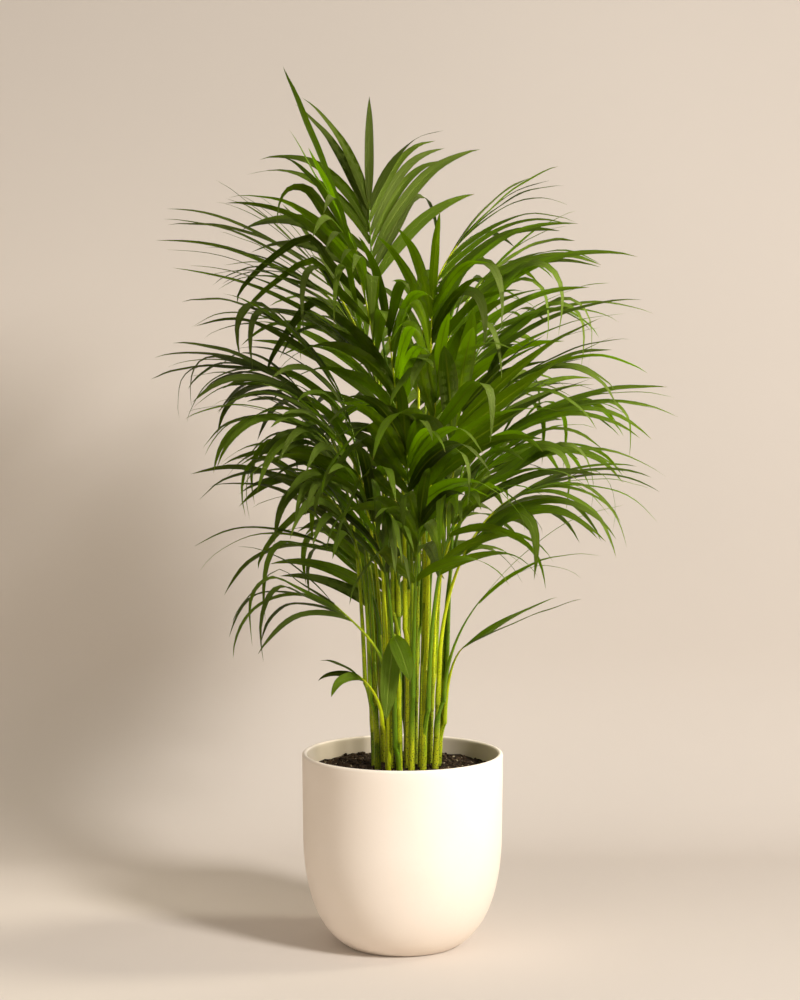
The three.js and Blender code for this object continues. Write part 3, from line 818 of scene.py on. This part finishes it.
@dataclass
class PottingSoil:
    """The potting mix: a lumpy top with crumbs, grit and bark on it."""

    turns: int = 120
    rings: int = 44
    depth: float = 20.0 * MM
    gap: float = 0.4 * MM
    flat: float = 60.0 * MM
    fall: float = 5.0 * MM
    sunk: float = 1.5 * MM
    lumps: tuple[tuple[float, float, float], ...] = (
        (55.0, 0.3, 2.6 * MM),
        (140.0, 1.7, 1.6 * MM),
        (330.0, 5.1, 0.8 * MM),
    )
    crumbs: int = 1500
    stone_every: int = 7
    wall_gap: float = 3.0 * MM
    smallest: float = 0.8 * MM
    largest_crumb: float = 4.0 * MM
    largest_stone: float = 2.5 * MM
    seed: int = 11
    edge: float = 0.0
    crown: float = 0.0

    def measure(self) -> None:
        """Read the soil's radius and its highest level from its solid."""
        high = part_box("soil")[1]
        self.edge = high.x - self.gap
        self.crown = high.z

    def surface(self, x: float, y: float) -> float:
        """Return the height of the soil at a place, in metres.

        Args:
            x: the place across.
            y: the place from front to back.

        Returns:
            The height, in metres.
        """
        radius = math.hypot(x, y)
        height = self.crown - self.fall * smooth((radius - self.flat) / (self.edge - self.flat)) - self.sunk
        for scale, layer, size in self.lumps:
            height += noise.noise(Vector((x, y, layer)) * scale) * size
        return height

    def build(self, mix_finish: bpy.types.Material, grit: bpy.types.Material) -> bpy.types.Object:
        """Turn the body, roughen its top and scatter crumbs.

        Args:
            mix_finish: the potting mix's finish.
            grit: the finish of grit and bark.

        Returns:
            The soil.
        """
        self.measure()
        form = Form()
        bed = self.crown - self.depth
        section = [Vector((self.edge * k / self.rings, 0.0, 0.0)) for k in range(self.rings + 1)]
        section += [Vector((self.edge, 0.0, bed)), Vector((0.0, 0.0, bed))]
        form.spin(section, self.turns)
        for vert in form.bm.verts:
            if abs(vert.co.z) < MERGE:
                vert.co.z = self.surface(vert.co.x, vert.co.y)
        self.scatter(form)
        piece = form.finish("potting_soil", [mix_finish, grit])
        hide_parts("soil")
        return piece

    def scatter(self, form: Form) -> None:
        """Lay crumbs, grit and bark over the soil.

        Args:
            form: the soil's mesh.
        """
        dice = random.Random(self.seed)
        reach = self.edge - self.wall_gap
        for index in range(self.crumbs):
            radius = reach * math.sqrt(dice.random())
            turn = dice.uniform(0, math.tau)
            x, y = radius * math.cos(turn), radius * math.sin(turn)
            stone = index % self.stone_every == 0
            largest = self.largest_stone if stone else self.largest_crumb
            size = mix(self.smallest, largest, dice.random() ** 2.2)
            ball = bmesh.ops.create_icosphere(form.bm, subdivisions=1, radius=size)
            shape = (dice.uniform(0.7, 1.7), dice.uniform(0.7, 1.1), dice.uniform(0.45, 0.9), 1)
            turned = Matrix.Rotation(dice.uniform(0, math.tau), 4, "Z")
            tipped = Matrix.Rotation(dice.uniform(0, 1.2), 4, "X")
            place = Matrix.Translation((x, y, self.surface(x, y) + size * 0.25))
            settle = place @ turned @ tipped @ Matrix.Diagonal(shape)
            for vert in ball["verts"]:
                vert.co = settle @ (vert.co * dice.uniform(0.82, 1.15))
                vert[form.shade] = dice.random() if stone else 0.0
            for face in {face for vert in ball["verts"] for face in vert.link_faces}:
                face.material_index = SoilPart.GRIT if stone else SoilPart.MIX
                face.smooth = not stone


# ---------------------------------------------------------------- canes
@dataclass
class Cane:
    """One cane: an upright stem with leaf scars, standing in the soil."""

    node: str
    sides: int = 14
    rows: int = 46
    scars: int = 3
    scar_height: float = 1.6 * MM
    scar_swell: float = 0.035
    scar_step: float = 0.03
    foot_swell: float = 0.08
    sway: float = 0.6 * MM
    foot: Vector = field(default_factory=Vector)
    top: Vector = field(default_factory=Vector)
    radius: float = 0.0
    top_radius: float = 0.0

    def measure(self) -> None:
        """Read the cane's axis and its radius at both ends from its solid."""
        points = [vert.co.copy() for vert in bpy.data.objects[self.node].data.vertices]
        middle = sum(p.z for p in points) / len(points)
        ends = []
        for side in ([p for p in points if p.z < middle], [p for p in points if p.z >= middle]):
            centre = Vector([(min(p[k] for p in side) + max(p[k] for p in side)) / 2 for k in range(3)])
            ends.append((centre, max((p - centre).length for p in side)))
        (self.foot, self.radius), (self.top, self.top_radius) = ends

    @property
    def axis(self) -> Vector:
        """The direction of the cane, upwards."""
        return (self.top - self.foot).normalized()

    def build(self, number: int, skin: bpy.types.Material) -> bpy.types.Object:
        """Shape the stem and dress it.

        Args:
            number: the cane's number, which varies it.
            skin: its finish.

        Returns:
            The cane.
        """
        dice = random.Random(100 + number)
        axis = self.axis
        side = axis.orthogonal().normalized()
        out = axis.cross(side)
        length = (self.top - self.foot).length
        scars = sorted(dice.uniform(0.30, 0.95) for _ in range(self.scars))
        sway = dice.uniform(-1, 1) * self.sway
        rings = [[self.foot.copy()] * self.sides]
        for k in range(self.rows + 1):
            share = k / self.rows
            swell = 1.0 + self.foot_swell * math.exp(-(((share - 0.12) / 0.13) ** 2))
            heights = [(share - scar) * length / self.scar_height for scar in scars]
            ridge = self.scar_swell * sum(math.exp(-(height**2)) for height in heights)
            shrink = 1.0 - self.scar_step * sum(height > 0 for height in heights)
            radius = mix(self.radius, self.top_radius, share) * SLENDER * (swell * shrink + ridge)
            centre = self.foot + axis * (length * share) + side * (sway * math.sin(math.pi * share))
            rings.append(ring(centre, side, out, radius, radius * 0.96, self.sides))
        rings.append([self.top + axis * MM] * self.sides)
        form = Form()
        form.wrap(rings, dice.random())
        piece = form.finish(self.node.replace("cane", "stem"), [skin])
        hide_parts(self.node)
        return piece


# ---------------------------------------------------------------- fronds
@dataclass
class Section:
    """One three-cornered section of a frond's solid: its middle, its width direction, and its upper side."""

    middle: Vector
    side: Vector
    up: Vector
    half: float

    @staticmethod
    def of(corners: Sequence[Vector]) -> "Section":
        """Return the section through three corners: the two farthest apart are its edges.

        Args:
            corners: the three corners.

        Returns:
            The section.
        """
        pairs = [(0, 1, 2), (1, 2, 0), (2, 0, 1)]
        a, b, keel = max(pairs, key=lambda p: (corners[p[0]] - corners[p[1]]).length)
        middle = (corners[a] + corners[b]) / 2
        across = corners[b] - corners[a]
        up = middle - corners[keel]
        up -= across * (up.dot(across) / across.length_squared)
        return Section(middle, across.normalized(), up.normalized(), across.length / 2)


@dataclass
class Leaflet:
    """One leaflet: where it joins the rachis, its sections and its tip."""

    foot: Vector
    along: Vector
    sections: list[Section]
    tip: Vector
    stations: tuple[float, float] = (7 / 24, 16 / 24)
    rows: int = 13
    folded: float = math.radians(88)
    crease: float = 0.53
    crease_reach: float = 0.24
    crease_sag: float = 4.0 * MM
    ripple: float = 0.9 * MM
    thickness: float = 0.5 * MM

    @staticmethod
    def outline(share: float) -> float:
        """Return the leaflet's width at a share of its length, as a share of its greatest.

        Args:
            share: the place, as a share of the leaflet's length.

        Returns:
            The width there, from 0 to 1.
        """
        widest, foot = 0.35, 0.35
        if share < widest:
            return 1.0 - (1.0 - foot) * (1.0 - share / widest) ** 2
        return 1.0 - ((share - widest) / (1.0 - widest)) ** 2.7

    def spine(self) -> Path:
        """Return the leaflet's midline, with a point at its crease where it has one.

        Returns:
            The midline, by the share of its length.
        """
        points = [self.foot, *(section.middle for section in self.sections), self.tip]
        shares = [0.0, *self.stations, 1.0]
        before = (points[1] - points[0]).normalized()
        after = (points[3] - points[2]).normalized()
        if before.angle(after) > self.folded:
            reach = (points[1] - points[0]).length / shares[1]
            points.insert(2, points[1] + before * (reach * self.crease_reach) - UP * self.crease_sag)
            shares.insert(2, self.crease)
        return Path(points, shares)

    def build(self, form: Form, dice: random.Random, tone_and_painted_light: float) -> None:
        """Add the blade to a frond: a thin closed strip, roofed along its midrib.

        Args:
            form: the frond's mesh.
            dice: the frond's own chances.
            tone_and_painted_light: the frond's tone from 0 to 1: random per frond, plus painted light that
                makes it brighter towards the key lamp's side.
        """
        path = self.spine()
        first, last = self.sections
        if first.side.dot(last.side) < 0:
            last = Section(last.middle, -last.side, last.up, last.half)
        inner, outer = self.stations
        width = first.half / self.outline(inner)
        along = self.along if self.along.dot(first.side) > 0 else -self.along
        # each leaflet's tone scatters about the frond's, painted light included
        shade = clamp(dice.gauss(tone_and_painted_light, 0.26))
        phase, waves = dice.uniform(0, math.tau), dice.uniform(1.5, 3.5)
        roof = dice.uniform(0.12, 0.34)
        curl = dice.uniform(-0.5, 0.5)
        rings = [[self.foot.copy()] * 4]
        for k in range(self.rows):
            share = max(0.006, (k / self.rows) ** 0.92)
            point, direction = path.at(share)
            if share < inner:
                side = along.lerp(first.side, smooth(share / inner))
            else:
                side = first.side.lerp(last.side, clamp((share - inner) / (outer - inner)))
            side = (side - direction * side.dot(direction)).normalized()
            up = direction.cross(side)
            if up.dot(first.up.lerp(last.up, share)) < 0:
                up = -up
            side = (side + up * (curl * share)).normalized()
            up = (up - side * up.dot(side)).normalized()
            half = width * self.outline(share)
            point = point + up * (self.ripple * math.sin(waves * math.tau * share + phase) * share)
            crest = point + up * (half * roof * (1.0 - 0.5 * share))
            keel = crest - up * self.thickness
            rings.append([point - side * half, crest, point + side * half, keel])
        rings.append([self.tip.copy()] * 4)
        form.wrap(rings, shade, FrondPart.LEAF, creased=(0, 1, 2, 4))


@dataclass
class Frond:
    """One frond: a sheathed petiole, a rachis and its leaflets, read from its solid."""

    node: str
    canes: list[Cane]
    sides: int = 10
    clasp: tuple[float, float] = (50.0 * MM, 75.0 * MM)
    sheath_rows: int = 12
    stalk_rows: int = 12
    row_length: float = 16.0 * MM
    stops: int = 300
    rachis: list[Section] = field(default_factory=list)
    leaflets: list[Leaflet] = field(default_factory=list)

    def measure(self) -> None:
        """Read the rachis and the leaflets by walking the solid from each leaflet's tip."""
        bm = bmesh.new()
        bm.from_mesh(bpy.data.objects[self.node].data)
        bmesh.ops.remove_doubles(bm, verts=bm.verts, dist=MERGE)
        near = {vert: {edge.other_vert(vert) for edge in vert.link_edges} for vert in bm.verts}
        blades = []
        green: set[bmesh.types.BMVert] = set()
        for tip in (vert for vert in bm.verts if len(vert.link_edges) == 3):
            outer = near[tip]
            inner = self.around(outer, near) - {tip}
            foot = self.around(inner, near) - outer
            blades.append((tip, outer, inner, foot))
            green |= outer | inner | {tip}
        stalk = [vert for vert in bm.verts if vert not in green]
        start = self.first_ring(stalk, near, green)
        rings = [start]
        seen = set(start)
        while True:
            following = self.around(rings[-1], near) - seen - green
            if not following:
                break
            rings.append(following)
            seen |= following
        self.rachis = [Section.of(self.places_of(found)) for found in rings if len(found) == 3]
        for tip, outer, inner, foot in blades:
            self.leaflets.append(self.leaflet(tip, outer, inner, foot))
        bm.free()

    @staticmethod
    def places_of(points: set[Any]) -> list[Vector]:
        """Return where some points are, in an order that doesn't change from run to run."""
        return sorted((vert.co.copy() for vert in points), key=tuple)

    @staticmethod
    def around(points: set[Any], near: dict[Any, set[Any]]) -> set[Any]:
        """Return the points that are one edge away from some points."""
        return set().union(*(near[vert] for vert in points)) - points

    def first_ring(self, stalk: list[Any], near: dict[Any, set[Any]], green: set[Any]) -> set[Any]:
        """Return the three corners of the petiole's cut end: the only flat face with no leaflet on it.

        Args:
            stalk: the points of the petiole and rachis.
            near: the neighbours of each point.
            green: the points of the leaflets.

        Returns:
            The three corners.
        """
        tops = [cane.top for cane in self.canes]
        lowest = min(stalk, key=lambda vert: min((vert.co - top).length for top in tops) + vert.co.z)
        for face in lowest.link_faces:
            found = set(face.verts)
            if len(self.around(found, near) - green) == 3 and not found & green:
                return found
        raise ValueError(f"{self.node} has no cut end")

    def leaflet(self, tip: Any, outer: set[Any], inner: set[Any], foot: set[Any]) -> Leaflet:
        """Return the leaflet on one tip, its sections in order from the rachis.

        Args:
            tip: the leaflet's tip.
            outer: the corners of its outer section.
            inner: the corners of its inner section.
            foot: the points of the rachis that it grows from.

        Returns:
            The leaflet.
        """
        base = sum(self.places_of(foot), Vector()) / len(foot)
        sections = [Section.of(self.places_of(found)) for found in (inner, outer)]
        spans = [(section.middle - base).length for section in self.rachis]
        k = min(range(len(spans)), key=spans.__getitem__)
        ahead = self.rachis[min(k + 1, len(self.rachis) - 1)].middle
        behind = self.rachis[max(k - 1, 0)].middle
        along = (ahead - behind).normalized()
        out = (sections[0].middle - base).normalized()
        nearly_parallel = 0.97
        if abs(out.dot(along)) > nearly_parallel:
            along = self.rachis[k].side
        return Leaflet(base, along, sections, tip.co.copy())

    def cane(self) -> Cane:
        """Return the cane that carries the frond.

        Returns:
            The nearest cane.
        """
        start = self.rachis[0].middle

        def span(cane: Cane) -> float:
            """Return the distance from the frond's start to a cane's axis."""
            reach = clamp((start - cane.foot).dot(cane.axis) / (cane.top - cane.foot).length)
            return (cane.foot.lerp(cane.top, reach) - start).length

        return min(self.canes, key=span)

    def midline(self) -> Path:
        """Return the midline of the petiole and rachis, by distance from its start.

        Returns:
            The midline.
        """
        spans = [0.0]
        for a, b in zip(self.rachis, self.rachis[1:]):
            spans.append(spans[-1] + (b.middle - a.middle).length)
        return Path([section.middle for section in self.rachis], spans)

    def seat_leaflets(self, path: Path) -> None:
        """Move the foot of each leaflet to the nearest place on the midline.

        Args:
            path: the midline.
        """
        places = [path.at(path.shares[-1] * k / self.stops)[0] for k in range(self.stops + 1)]
        for leaflet in self.leaflets:
            leaflet.foot = min(places, key=lambda place: (place - leaflet.foot).length_squared).copy()

    def sheath(self, clasp: float) -> list[list[Vector]]:
        """Return the rings that clasp the cane, leave it and narrow to the petiole.

        Args:
            clasp: how far under the petiole's start the sheath begins.

        Returns:
            The rings, upwards.
        """
        cane = self.cane()
        start = self.rachis[0]
        low = (start.middle - cane.foot).dot(cane.axis) - clasp
        foot = cane.foot + cane.axis * low
        hold = mix(cane.radius, cane.top_radius, clamp(low / (cane.top - cane.foot).length))
        rings = [[foot.copy()] * self.sides]
        for k in range(self.sheath_rows):
            share = k / self.sheath_rows
            on_axis = foot + cane.axis * (clasp * share)
            centre = on_axis.lerp(start.middle, smooth((share - 0.45) / 0.55))
            hug = mix(0.93, 1.06, smooth(share / 0.2))
            half = mix(hold * SLENDER * hug, start.half * 1.05, smooth((share - 0.2) / 0.8))
            rings.append(ring(centre, start.side, start.up, half, half * mix(1.0, 0.86, share), self.sides))
        return rings

    def stalk(self, path: Path) -> list[list[Vector]]:
        """Return the rings of the petiole and rachis.

        Args:
            path: the midline.

        Returns:
            The rings, from the sheath to the end.
        """
        spans = path.shares
        total = spans[-1]
        rows = max(self.stalk_rows, int(total / self.row_length))
        rings = []
        for k in range(rows):
            distance = total * k / rows
            point, direction = path.at(distance)
            j = max(i for i in range(len(spans) - 1) if i == 0 or spans[i] <= distance)
            section, following = self.rachis[j], self.rachis[j + 1]
            share = clamp((distance - spans[j]) / (spans[j + 1] - spans[j]))
            other = following.side if following.side.dot(section.side) > 0 else -following.side
            across = section.side.lerp(other, share)
            across = (across - direction * across.dot(direction)).normalized()
            above = across.cross(direction)
            if above.dot(section.up) < 0:
                above = -above
            half = mix(section.half, following.half, share) * mix(1.2, 0.95, distance / total)
            rings.append(ring(point - above * (half * 0.25), across, above, half, half * 0.85, self.sides))
        rings.append([path.at(total)[0]] * self.sides)
        return rings

    def build(self, number: int, leaf: bpy.types.Material, skin: bpy.types.Material) -> bpy.types.Object:
        """Build the frond and dress it, with painted light: its leaflets are brighter towards the key lamp's
        side.

        Args:
            number: the frond's number, which varies it.
            leaf: the leaflets' finish.
            skin: the stalk's finish.

        Returns:
            The frond.
        """
        self.measure()
        dice = random.Random(500 + number)
        form = Form()
        path = self.midline()
        rings = self.sheath(dice.uniform(*self.clasp)) + self.stalk(path)
        form.wrap(rings, dice.random(), FrondPart.STALK)
        self.seat_leaflets(path)
        # painted light: a frond farther towards the key lamp's side (+x) gets a brighter leaflet tone on top
        # of its random tone
        tone_and_painted_light = clamp(dice.gauss(0.48, 0.15) + 0.85 * self.rachis[-1].middle.x)
        for leaflet in self.leaflets:
            leaflet.build(form, dice, tone_and_painted_light)
        piece = form.finish(self.node.replace("frond", "leafy_frond"), [leaf, skin])
        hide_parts(self.node)
        return piece


# ---------------------------------------------------------------- studio
@dataclass
class Lamp:
    """One soft lamp: where it stands, what it faces, its size, strength and colour."""

    name: str
    place: tuple[float, float, float]
    target: tuple[float, float, float]
    size: float
    watts: float
    colour: Colour
    spread: float = 180.0

    def build(self) -> None:
        """Hang the lamp."""
        light = bpy.data.lights.new(self.name, "AREA")
        light.shape = "DISK"
        light.size = self.size
        light.energy = self.watts
        light.color = self.colour
        light.spread = math.radians(self.spread)
        lamp = bpy.data.objects.new(self.name, light)
        lamp.location = self.place
        towards = Vector(self.target) - Vector(self.place)
        lamp.rotation_euler = towards.to_track_quat("-Z", "Y").to_euler()
        bpy.context.scene.collection.objects.link(lamp)


@dataclass
class Studio:
    """The pale sweep behind the plant, the lamps and the camera."""

    wall: float = 0.80
    bend: float = 0.30
    bend_rows: int = 12
    width: float = 9.0
    front: float = 7.0
    height: float = 6.0
    air: Colour = (1.0, 0.91, 0.78)
    air_strength: float = 0.34
    lens: float = 83.5
    camera_place: tuple[float, float, float] = (0.0, -3.2, 0.87)
    tilt: float = 4.43
    shift: float = -0.0025
    lamps: list[Lamp] = field(default_factory=lambda: [
        Lamp("key", (2.20, -2.20, 2.10), (0.15, -0.15, 0.34), 0.75, 48.0, (1.0, 0.975, 0.94), 110.0),
        Lamp("fill", (-2.2, -2.8, 1.6), (0.0, 0.0, 0.1), 2.6, 18.0, (1.0, 0.92, 0.82)),
        Lamp("glow", (1.5, 0.10, 1.30), (0.0, 0.0, 0.85), 0.5, 6.0, (1.0, 0.95, 0.80), 50.0),
    ])

    def build(self, plaster: bpy.types.Material) -> None:
        """Raise the sweep, light it and set up the camera.

        Args:
            plaster: the sweep's finish.
        """
        self.sweep(plaster)
        for lamp in self.lamps:
            lamp.build()
        world = bpy.data.worlds.new("studio_air")
        world.use_nodes = True
        air = world.node_tree.nodes["Background"]
        air.inputs["Color"].default_value = rgba(self.air)
        air.inputs["Strength"].default_value = self.air_strength
        scene = bpy.context.scene
        scene.world = world
        scene.view_settings.view_transform = "Standard"
        self.camera()

    def sweep(self, plaster: bpy.types.Material) -> None:
        """Build the floor and the wall as one bent sheet.

        Args:
            plaster: its finish.
        """
        bm = bmesh.new()
        corner = self.wall - self.bend
        points = [Vector((-self.width, -self.front, 0.0)), Vector((-self.width, corner, 0.0))]
        for k in range(1, self.bend_rows + 1):
            turn = math.pi / 2 * k / self.bend_rows
            back = corner + self.bend * math.sin(turn)
            points.append(Vector((-self.width, back, self.bend * (1 - math.cos(turn)))))
        points.append(Vector((-self.width, self.wall, self.height)))
        verts = [bm.verts.new(point) for point in points]
        edges = [bm.edges.new(pair) for pair in zip(verts, verts[1:])]
        made = bmesh.ops.extrude_edge_only(bm, edges=edges)
        moved = [part for part in made["geom"] if isinstance(part, bmesh.types.BMVert)]
        bmesh.ops.translate(bm, verts=moved, vec=(2 * self.width, 0, 0))
        for face in bm.faces:
            face.smooth = True
        mesh = bpy.data.meshes.new("studio_sweep")
        bm.to_mesh(mesh)
        bm.free()
        mesh.materials.append(plaster)
        sheet = bpy.data.objects.new("studio_sweep", mesh)
        bpy.context.scene.collection.objects.link(sheet)

    def camera(self) -> None:
        """Set up the camera a little above the plant's middle, looking slightly down."""
        data = bpy.data.cameras.new("camera")
        data.lens = self.lens
        data.sensor_width = 36.0
        data.sensor_fit = "AUTO"
        data.clip_end = 60.0
        data.shift_x = self.shift
        camera = bpy.data.objects.new("camera", data)
        camera.location = self.camera_place
        camera.rotation_euler = (math.radians(90.0 - self.tilt), 0.0, 0.0)
        bpy.context.scene.collection.objects.link(camera)
        bpy.context.scene.camera = camera


# ---------------------------------------------------------------- the whole plant
def names_of(nodes: Iterable[str], prefix: str) -> list[str]:
    """Return the names that start with a prefix, in order."""
    return sorted(name for name in nodes if name.startswith(prefix))


def main(frame: dict[str, Any]) -> None:
    """Build every sub-assembly in order.
    """
    logging.basicConfig(level=logging.INFO, format="%(name)s: %(message)s")
    Studio().build(PlasterFinish().make())
    LOG.info("built %s", Planter().build(GlazeFinish().make()).name)
    LOG.info("built %s", PottingSoil().build(SoilFinish().make(), GritFinish().make()).name)
    cane_skin = CANE_FINISH.make()
    stalk_skin = STALK_FINISH.make()
    leaf = LeafFinish().make()
    canes = [Cane(name) for name in names_of(frame["nodes"], "cane")]
    for number, cane in enumerate(canes):
        cane.measure()
        LOG.info("built %s", cane.build(number, cane_skin).name)
    for number, name in enumerate(names_of(frame["nodes"], "frond")):
        LOG.info("built %s", Frond(name, canes).build(number, leaf, stalk_skin).name)


def corners(box: Any) -> list[list[float]]:
    """Return a box as plain lists of numbers."""
    return [[float(x) for x in corner] for corner in box]


if __name__ == "__main__":
    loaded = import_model()
    main(loaded)
